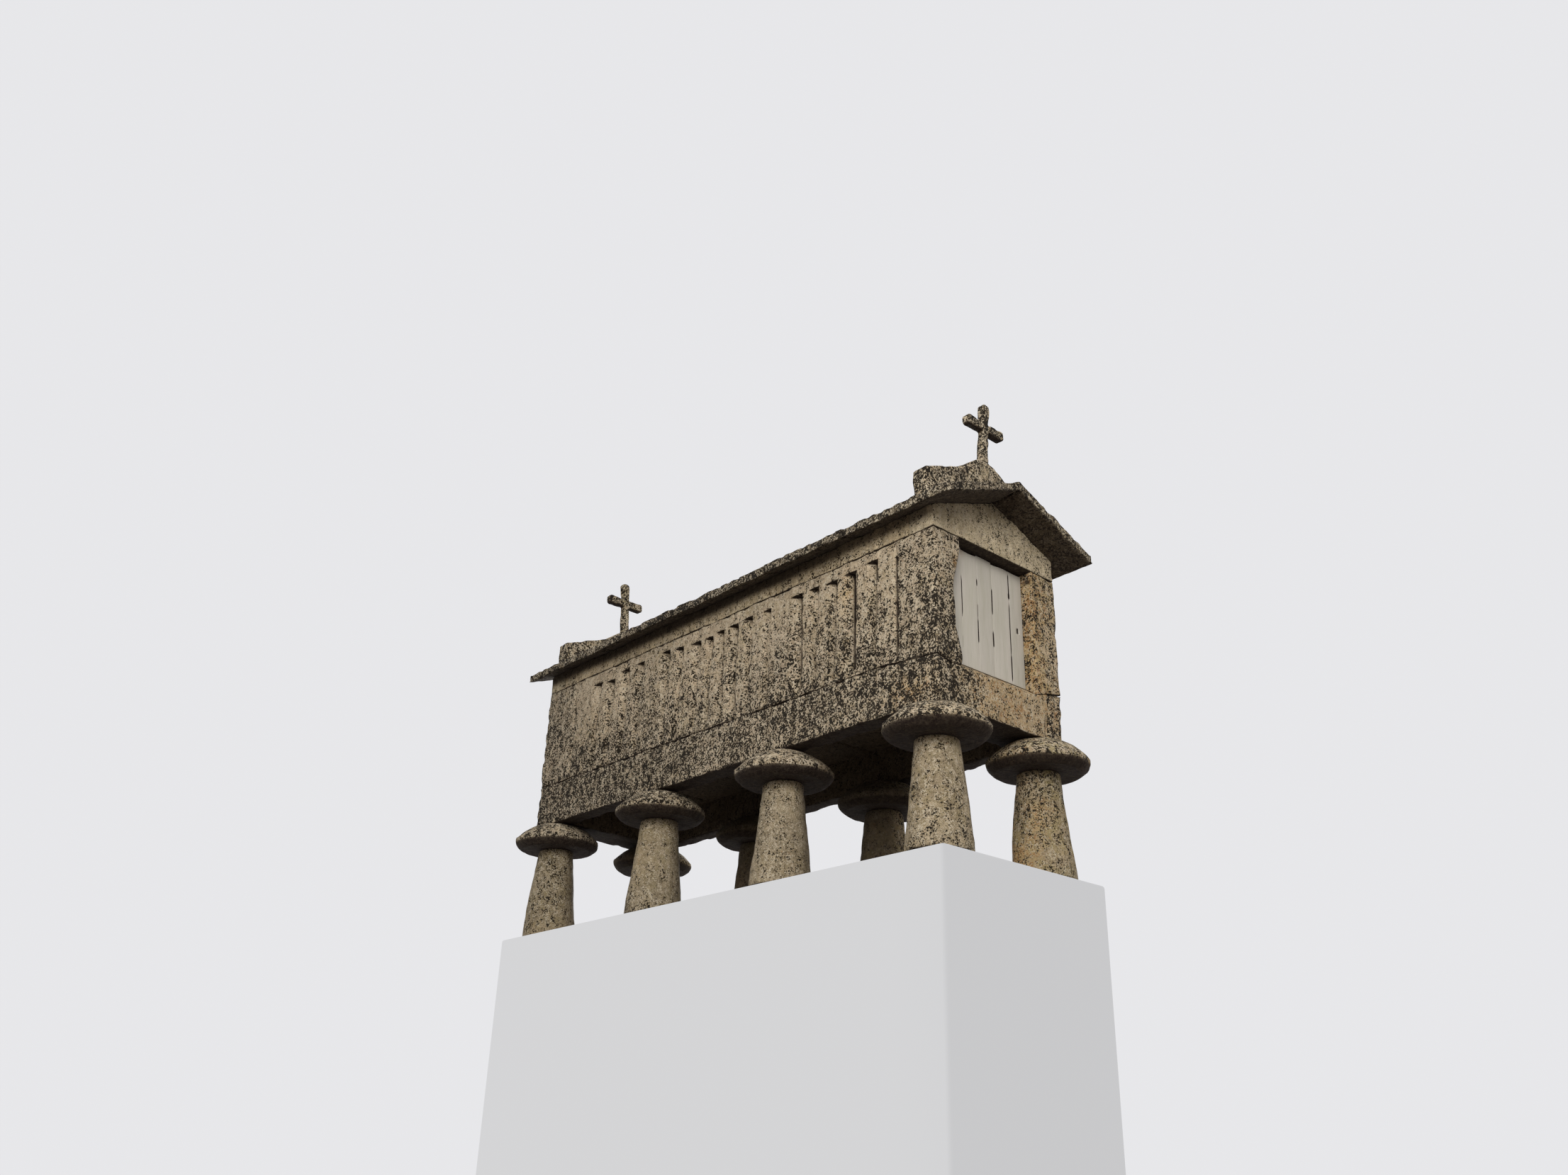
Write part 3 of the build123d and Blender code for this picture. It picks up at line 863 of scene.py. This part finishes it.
def slab(start, end, slots, height, place):
    """One upright slab between two slots.

    Between a slot's foot and head the slab's edge is drawn back by the gap, and near the outer face
    by the flare as well, which is widest at the head. What lies between the edges is squeezed
    evenly. Each slot is (foot, head, gap, flare, fade, dark_from), where fade is how much of the
    flare is lost, and painted shade darkens the slot from the last depth on.
    """
    arris, ledge, edge = 0.007, 0.005, 0.03
    outline, ways = rounded_outline(rectangle((start, 0), (end, slab_depth)), 0.017, arris)
    ledges = [level for foot, head, *_ in slots for level in (foot, foot + ledge, head - ledge, head)]
    places = np.unique(np.concatenate([stations(0, height, arris, 0.024), ledges]))
    rows, ways, heart = carry(outline, ways, places, arris, 0.03)
    across, inwards, up = rows[..., 0].copy(), rows[..., 1], rows[..., 2]
    drawn, shades = [], []
    for foot, head, gap, flare, fade, dark_from in slots:
        opened = smooth_step(up, foot, foot + ledge) * (1 - smooth_step(up, head - ledge, head))
        fading = 1 - fade * (1 - smooth_step(up, head - 0.42, head - 0.06))
        bevel = min(flare, (end - start) * slot_flare_most) * np.clip(1 - inwards / slot_flare_depth, 0, 1)
        drawn.append(opened * (gap + bevel * fading))
        # Painted shade deep in the slot
        shades.append(opened * smooth_step(inwards, dark_from, dark_from + 0.012))
    share = (across - start) / (end - start)
    rows[..., 0] = across + drawn[0] * (1 - share) - drawn[1] * share
    cut = stone(rows, ways, heart, place)
    paint_gap_shade(cut, shades[0] * (share < edge) + shades[1] * (share > 1 - edge))
    return cut


def dress_slab_wall(wall, along, inwards, shares, wide_slots):
    """A wall of upright slabs with a flared slot between each two, and beside the posts.

    The first slab stands at the corner of the node's box that both directions lead away from. The
    wide slots keep their flare down to the foot; in the others it dies away below the head.
    """
    node = f"{wall}_slabs"
    low, high = corners(node)
    axes = np.array([along, inwards, (0, 0, 1)], float)
    base = np.where(axes.sum(axis=0) < 0, high, low)
    length = abs(axes[0]) @ (high - low)
    height = high[2] - low[2]
    chance = np.random.default_rng(sum(map(ord, node)))
    count = len(shares) + 1
    wide = np.isin(np.arange(count), wide_slots)
    beside_post = np.isin(np.arange(count), (0, count - 1))
    feet = slot_foot + chance.uniform(-0.010, 0.030, count)
    heads = height - slot_head - chance.uniform(-0.020, 0.035, count)
    gaps = slot_gap * np.where(wide, 1.15, chance.uniform(0.8, 1.1, count))
    flares = slot_flare * np.where(wide, 1.0, chance.uniform(0.55, 1.15, count))
    # The last value of each slot is the depth where its painted shade begins
    slots = list(zip(
        feet, heads, gaps * np.where(beside_post, 0.75, 0.5), np.where(beside_post, 0.0, flares),
        np.where(wide, 0.05, 0.60), np.where(beside_post, 0.004, np.where(wide, 0.053, 0.058)),
    ))
    stones = [
        slab(start, end, slots[number:number + 2], height, lambda points: base + points @ axes)
        for number, (start, end) in enumerate(spans(0, length, shares))
    ]
    masonry(f"hewn_{wall}", stones, wall_granite, [node], crust=0.35, rust=0.12, moss=0.45, fall=0.52)


def dress_walls():
    """Side walls and the back wall."""
    shares = side_slab_shares[::-1]
    dress_slab_wall("left_wall", (1, 0, 0), (0, 1, 0), shares, [9, 10, 13, 16, 18])
    dress_slab_wall("right_wall", (-1, 0, 0), (0, -1, 0), shares, [0, 4, 7, 12, 15])
    dress_slab_wall("back_wall", (0, -1, 0), (1, 0, 0), back_slab_shares, [1, 4])


def dress_plates():
    """Wall plates and gable stones."""
    shoulder = roof_ridge - roof_slope * half_width
    for side, sign in sides.items():
        low, high = corners(f"plate_{side}")
        inner = half_width - (high[1] - low[1])
        turns = [(sign * half_width, wall_top), (sign * half_width, shoulder)]
        turns += [(sign * inner, high[2]), (sign * inner, wall_top)]
        stones = lying_stones(turns, spans(high[0], low[0], plate_stone_shares))
        hewn(f"plate_{side}", stones, plate_granite, crust=0.16, rust=0.25, moss=0.5, chipping=0.6)
    for end in ("front", "back"):
        low, high = corners(f"gable_{end}")
        turns = [(-half_width, wall_top), (half_width, wall_top), (half_width, shoulder)]
        turns += [(0, roof_ridge), (-half_width, shoulder)]
        stones = lying_stones(turns, [(low[0], high[0])])
        hewn(f"gable_{end}", stones, gable_granite, crust=0.12, rust=0.1, moss=0.45, chipping=0.6)


def dress_roof():
    """Roof slabs, ragged along the eaves, with lichen gathered along their joints."""
    middle = (roof_low[0] + roof_high[0]) / 2
    for side, sign in sides.items():
        order = slice(None, None, -sign)
        stretches = spans(roof_high[0], roof_low[0], roof_slab_shares[order])
        stones = []
        for stretch, step in zip(stretches, eave_steps[order]):
            eave = half_width + eave_overhang + step
            fall = roof_slope * eave
            turns = [(0, roof_ridge), (0, roof_crest)]
            turns += [(sign * eave, roof_crest - fall), (sign * eave, roof_ridge - fall)]
            stones += lying_stones(turns, [stretch], spacing=0.024)
        for block in stones:
            points = block["points"]
            reach = smooth_step(abs(points[:, 1]), half_width, half_width + eave_overhang)
            reach = np.maximum(reach, smooth_step(abs(points[:, 0] - middle), 2.5, 2.6))
            level = points * (1, 1, 0)
            wave = (lattice_noise(level, 0.20, 77) + lattice_noise(level, 0.05, 78)) * 0.004
            points += wave * (1, 1, 0.6) * reach[:, None]
            block["arris"] = 3 * block["arris"]
        # The roof's undersides take a little less painted shade
        masonry(
            f"roof_stones_{side}", stones, roof_granite, [f"roof_slabs_{side}"],
            crust=0.60, rust=0.1, moss=0.5, roughness=0.8, chipping=0.33, wet=0.72,
        )


def dress_ridge():
    """Saddle stones and their crosses."""
    for end, crust in (("front", 0.60), ("back", 0.50)):
        low, high = corners(f"saddle_{end}")
        foot = pedestal_half_width + pedestal_slopes[end]
        middle = foot * pedestal_top_share
        crest = high[2] - saddle_thickness
        turns = [(half_width, roof_crest - roof_slope * half_width)]
        turns += [(half_width, crest - roof_slope * half_width), (foot, crest - roof_slope * foot)]
        turns += [(middle, high[2])]
        turns = [(0, roof_crest), *turns, *((-across, height) for across, height in turns[::-1])]
        stones = lying_stones(turns, [(low[0], high[0])], heart=(0, roof_crest + 0.15), radius=0.014)
        hewn(f"saddle_{end}", stones, sill_granite, crust=crust, rust=0.15, moss=0.7, chipping=0.9)
    arris, spacing = 0.012, 0.014
    for end, lean, span, crust in (("front", 5.0, 0.412, 0.74), ("back", -4.0, 0.387, 0.60)):
        low, high = corners(f"cross_{end}")
        sway = math.tan(math.radians(lean))
        turns = cross_outline(low[2], high[2] - low[2], span, sway)
        crossing = cross_arm_share * (high[2] - low[2])
        heart = (crossing * sway, low[2] + crossing)
        stones = lying_stones(turns, [(low[0], high[0])], heart, arris, spacing)
        growth = {"crust": crust, "rust": 0.05, "moss": 1.0, "roughness": 0.6, "chipping": 0.6}
        hewn(f"cross_{end}", stones, sill_granite, **growth)


def cross_outline(foot, height, span, sway):
    """The outline of a Latin cross whose limbs widen to clipped ends, and whose shaft leans."""
    shaft, arm, flare, clip = 0.031, 0.036, 0.008, 0.018
    crossing = cross_arm_share * height
    side, wide, low_arm, high_arm = span / 2, shaft + flare, crossing - arm, crossing + arm
    right = [(wide, 0), (shaft, low_arm)]
    right += [(side - clip, low_arm - flare), (side, low_arm - flare + clip)]
    right += [(side, high_arm + flare - clip), (side - clip, high_arm + flare)]
    right += [(shaft, high_arm), (wide, height - clip), (wide - clip, height)]
    both = right + [(-across, rise) for across, rise in right[::-1]]
    return [(across + rise * sway, foot + rise) for across, rise in both]


def board_opening(height, marks):
    """How far a joint between boards stands open at each height, from (height, half length, gap) marks."""
    total = np.zeros(height.shape)
    for middle, half_length, gap in marks:
        closing = smooth_step(abs(height - middle), half_length * 0.6, half_length)
        total = np.maximum(total, gap * (1 - closing))
    return total


def cut_keyhole(boards, low, high):
    """Cuts the keyhole's slot through the last board, with round ends."""
    half_turn = np.linspace(0, np.pi, 9)
    turn = np.concatenate([half_turn, half_turn - np.pi])
    straight = (keyhole_length - keyhole_width) / 2
    across = np.cos(turn) * keyhole_width / 2
    up = np.sin(turn) * keyhole_width / 2 + np.repeat([straight, -straight], len(half_turn))
    outline = np.stack([high[1] - keyhole_inset + across, low[2] + keyhole_level + up], axis=1)
    places = np.array([low[0] - 0.02, high[0] + 0.02])
    rows, ways, heart = carry(outline, np.ones(len(outline)), places, 0.001, 1)
    cutter = mesh_object("keyhole_cutter", [stone(rows, ways, heart, lying)], {})
    # The keyhole's cut sides take the near-black painted shade
    cutter.data.materials.append(keyhole_shade_wood)
    cut = boards.modifiers.new("keyhole", "BOOLEAN")
    cut.operation = "DIFFERENCE"
    cut.material_mode = "TRANSFER"
    cut.object = cutter
    shaped = boards.evaluated_get(bpy.context.evaluated_depsgraph_get())
    mesh = bpy.data.meshes.new_from_object(shaped)
    boards.modifiers.clear()
    boards.data = mesh
    bpy.data.objects.remove(cutter)


def dress_door():
    """Boards with gaps that open here and there; the stile and ledges keep the frame's shape."""
    low, high = corners("door_boards")
    shut = []
    joints = [
        [(1.86, 0.18, 0.009), (1.52, 0.06, 0.003)],
        [(2.017, 0.028, 0.008), (1.65, 0.11, 0.009), (1.80, 0.07, 0.005)],
        [(1.92, 0.12, 0.009), (1.63, 0.07, 0.011)],
        [(2.10, 0.13, 0.008), (2.02, 0.024, 0.015), (1.76, 0.26, 0.006), (1.47, 0.12, 0.009)],
        shut,
    ]
    hangs = [0.014, 0.006, 0.016, 0.012]
    tones = [0.4, -0.5, 0.3, -0.2]
    arris, edge = 0.002, 0.005
    stones = []
    for number, (near, far) in enumerate(spans(low[1], high[1], board_shares)):
        outline, ways = rounded_outline(rectangle((low[0], near), (high[0], far)), 0.026, arris)
        places = stations(low[2], high[2], arris, 0.013)
        rows, ways, heart = carry(outline, ways, places, arris, 0.03)
        height = rows[..., 2]
        share = (rows[..., 1] - near) / (far - near)
        near_gap = board_opening(height, joints[number]) * (1.0 if number == 0 else 0.5)
        far_gap = board_opening(height, joints[number + 1]) * 0.5
        opened = near_gap * (1 - share) - far_gap * share
        # Painted shade on the boards' edges where a gap stands open
        edges = smooth_step(near_gap, 0.001, 0.003) * (share < edge)
        edges += smooth_step(far_gap, 0.001, 0.003) * (share > 1 - edge)
        wander = lattice_noise(rows * (0, 0, 1) + number, 0.25, 9)
        rows[..., 1] += opened + wander[..., 1] * 0.0004
        rows[..., 0] += wander[..., 0] * 0.0012
        upper = smooth_step(height, high[2] - 0.10, high[2])
        rows[..., 2] -= upper * hangs[number] * (1 + 0.3 * np.sin(25 * rows[..., 1]))
        board = stone(rows, ways, heart)
        paint_gap_shade(board, edges)
        stones.append(board)
    points = joined(stones, "points")
    corner = np.hypot(points[:, 1] + 0.30, points[:, 2] - high[2] + 0.02)
    values = {
        "tone": np.repeat(tones, [len(board["points"]) for board in stones]),
        "stain": 0.6 * np.exp(-((corner / 0.05) ** 2)),
        "painted_shade": joined(stones, "dark"),
    }
    boards = mesh_object("weathered_door_boards", stones, values)
    boards.data.materials.append(board_wood)
    cut_keyhole(boards, low, high)
    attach(boards, "door")
    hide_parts("door_boards")
    for node in ("door_stile", "door_ledges"):
        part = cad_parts[node]
        part.data.materials.clear()
        part.data.materials.append(board_wood)


# Camera, as fitted to the photograph
camera_place = (7.73081, -6.67407, -1.97659)
camera_yaw = math.radians(-48.883)
camera_pitch = math.radians(24.864)
camera_roll = math.radians(1.665)
camera_lens = 30.520


def put(name, data, right, up, back, place):
    """An object at a place, with its own axes along three directions."""
    thing = new_object(name, data)
    matrix = np.eye(4)
    matrix[:3] = np.column_stack([right, up, back, place])
    thing.matrix_world = Matrix(matrix.tolist())
    return thing


def make_camera():
    """The photograph's camera: low on the slope in front of the granary, looking up at it."""
    forward = np.array([
        math.sin(camera_yaw) * math.cos(camera_pitch),
        math.cos(camera_yaw) * math.cos(camera_pitch),
        math.sin(camera_pitch),
    ])
    right = np.array([math.cos(camera_yaw), -math.sin(camera_yaw), 0.0])
    up = np.cross(right, forward)
    turned_right = right * math.cos(camera_roll) + up * math.sin(camera_roll)
    turned_up = up * math.cos(camera_roll) - right * math.sin(camera_roll)
    data = bpy.data.cameras.new("photo_camera")
    data.lens = camera_lens
    data.sensor_width = 36.0
    data.sensor_fit = "HORIZONTAL"
    camera = put("photo_camera", data, turned_right, turned_up, -forward, camera_place)
    bpy.context.scene.camera = camera


# Colour of the backdrop
backdrop = (0.80, 0.80, 0.82)


def laid_over(tree, factor, first, second):
    """The second shader laid over the first."""
    return add_node(tree, "ShaderNodeMixShader", {0: factor, 1: first, 2: second}).outputs[0]


def stage_material():
    """A pale plain floor for the camera, darker to all other light, which fades into the backdrop.

    From below it isn't there.
    """
    material, tree, shader, place = new_material("pale_floor")
    rays = tree.nodes.new("ShaderNodeLightPath").outputs
    seen = maths(tree, "MAXIMUM", rays["Is Camera Ray"], rays["Is Glossy Ray"])
    colour = mixed(tree, seen, (0.12, 0.10, 0.085), (0.62, 0.62, 0.63))
    feed(tree, shader, {"Base Color": colour, "Roughness": 0.9})
    away = vector_maths(tree, "LENGTH", {0: place}, "Value")
    far = times(tree, ranged(tree, away, 3.4, 7.0, smooth=True), rays["Is Camera Ray"])
    glow = add_node(tree, "ShaderNodeEmission", {"Color": (*backdrop, 1)})
    surface = laid_over(tree, far, shader.outputs[0], glow.outputs[0])
    facing = tree.nodes.new("ShaderNodeNewGeometry").outputs["Backfacing"]
    clear = tree.nodes.new("ShaderNodeBsdfTransparent")
    surface = laid_over(tree, times(tree, facing, rays["Is Camera Ray"]), surface, clear.outputs[0])
    feed(tree, tree.nodes["Material Output"], {"Surface": surface})
    return material


def block_material():
    """The block's sides as the camera sees them: glowing pale and unlit, one side made a shade darker by
    painted shade.
    """
    material = bpy.data.materials.new("glowing_block_painted_shade")
    material.use_nodes = True
    tree = material.node_tree
    tree.nodes.remove(tree.nodes["Principled BSDF"])
    facing = tree.nodes.new("ShaderNodeNewGeometry").outputs["Normal"]
    forward = add_node(tree, "ShaderNodeSeparateXYZ", {"Vector": facing}).outputs["X"]
    # Painted shade: the faces turned to the door glow a shade darker than the others
    shade = mixed(tree, ranged(tree, forward, 0.0, 1.0), (0.66, 0.66, 0.67), (0.58, 0.58, 0.59))
    rays = tree.nodes.new("ShaderNodeLightPath")
    glow = add_node(tree, "ShaderNodeEmission", {"Color": shade, "Strength": rays.outputs["Is Camera Ray"]})
    tree.links.new(glow.outputs[0], tree.nodes["Material Output"].inputs["Surface"])
    return material


def make_stage():
    """A wide level floor, and under the granary a plain block that carries it when seen from below."""
    reach, margin, depth, lip, arris = 30.0, 0.06, 2.6, 0.0006, 0.02
    low = corners("pillar_left_4")[0][:2] - margin
    high = corners("pillar_right_1")[1][:2] + margin
    outline, ways = rounded_outline(rectangle(low, high), 0.4, 0.03)
    rows, ways, heart = carry(outline, ways, stations(-depth, -lip, arris, 0.8), arris, 0.4)
    block = mesh_object("stage_block", [stone(rows, ways, heart)], {})
    mesh = bpy.data.meshes.new("stage_floor")
    turns = rectangle((-reach, -reach), (reach, reach))
    mesh.from_pydata([(*turn, 0) for turn in turns], [], [(0, 1, 2, 3)])
    floor = new_object("stage_floor", mesh)
    for part, material in ((block, block_material()), (floor, stage_material())):
        part.data.materials.append(material)


def area_light(name, place, power, colour):
    """A wide soft lamp turned to the middle of the granary."""
    target = (0, 0, 1.8)
    data = bpy.data.lights.new(name, "AREA")
    data.shape = "DISK"
    data.size = 6.0
    data.energy = power
    data.color = colour
    back = np.array(place, float) - np.array(target, float)
    back /= np.linalg.norm(back)
    side = np.cross((0, 0, 1), back)
    side /= np.linalg.norm(side)
    put(name, data, side, np.cross(back, side), back, place)


def make_light():
    """An even sky that darkens below the horizon, a pale backdrop, and soft lamps on each long side."""
    world = bpy.data.worlds.new("pale_sky")
    bpy.context.scene.world = world
    world.use_nodes = True
    tree = world.node_tree
    background = tree.nodes["Background"]
    direction = tree.nodes.new("ShaderNodeTexCoord").outputs["Generated"]
    up = add_node(tree, "ShaderNodeSeparateXYZ", {"Vector": direction}).outputs["Z"]
    sky = mixed(tree, ranged(tree, up, 0.0, 1.0), (0.78, 0.78, 0.785), (1.08, 1.08, 1.09))
    dome = mixed(tree, ranged(tree, up, -0.12, 0.04), (0.03, 0.028, 0.026), sky)
    rays = tree.nodes.new("ShaderNodeLightPath")
    seen = maths(tree, "MAXIMUM", rays.outputs["Is Camera Ray"], rays.outputs["Is Transmission Ray"])
    tree.links.new(mixed(tree, seen, dome, backdrop), background.inputs["Color"])
    area_light("key_lamp", (8.2, -8.2, 5.2), 1000.0, (1.0, 0.985, 0.955))
    area_light("fill_lamp", (-8.2, 8.2, 5.2), 850.0, (1.0, 1.0, 0.99))
    scene = bpy.context.scene
    scene.view_settings.view_transform = "Standard"


dress_supports()
dress_sills()
dress_posts()
dress_walls()
dress_plates()
dress_roof()
dress_ridge()
dress_door()
make_stage()
make_light()
make_camera()
